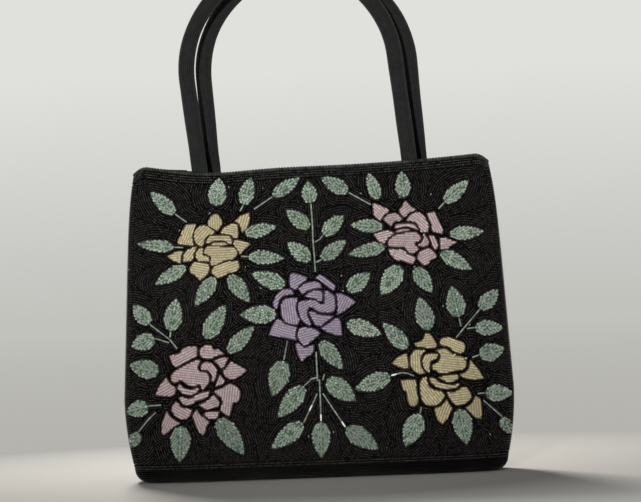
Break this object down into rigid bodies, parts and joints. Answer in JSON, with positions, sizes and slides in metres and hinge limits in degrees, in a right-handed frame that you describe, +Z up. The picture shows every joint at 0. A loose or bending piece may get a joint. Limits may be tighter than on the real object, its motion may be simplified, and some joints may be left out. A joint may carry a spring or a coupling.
{
  "type": "beaded bag",
  "caption": "Upright handbag of black seed beads with beaded roses and leafy sprigs on the front, an open lined mouth and padded cloth tube handles.",
  "frame": {"origin": "middle of the flat base, on the surface it stands on", "axes": "+Z up, -Y out of the front with the roses, +X to the right of someone facing the front"},
  "size_m": [0.2588, 0.062, 0.3444],
  "materials": {
    "black_beads": "glossy black glass seed beads sewn in rows on cloth",
    "black_cloth": "matt black crepe",
    "card": "plain stiff card",
    "cotton_cord": "soft cotton cord",
    "snap_steel": "nickel-plated steel",
    "yellow_beads": "pearl yellow glass beads",
    "pink_beads": "pearl pink glass beads",
    "lilac_beads": "pearl lilac glass beads",
    "green_beads": "silver-lined sage green glass beads"
  },
  "bodies": {
    "root": {"front_panel": "black_beads", "back_panel": "black_beads", "base_panel": "black_beads", "rim_edging": "black_beads", "rim_hem": "black_cloth", "lining": "black_cloth", "handle_front_cover": "black_cloth", "handle_back_cover": "black_cloth", "front_stiffener": "card", "back_stiffener": "card", "base_board": "card", "handle_front_cord": "cotton_cord", "handle_back_cord": "cotton_cord", "snap_socket": "snap_steel", "snap_stud": "snap_steel", "rose_top_left": "yellow_beads", "rose_bottom_right": "yellow_beads", "rose_top_right": "pink_beads", "rose_bottom_left": "pink_beads", "rose_centre": "lilac_beads", "leaves_top_left": "green_beads", "leaves_top_right": "green_beads", "leaves_centre": "green_beads", "leaves_bottom_left": "green_beads", "leaves_bottom_right": "green_beads", "stems": "green_beads"}
  },
  "joints": []
}
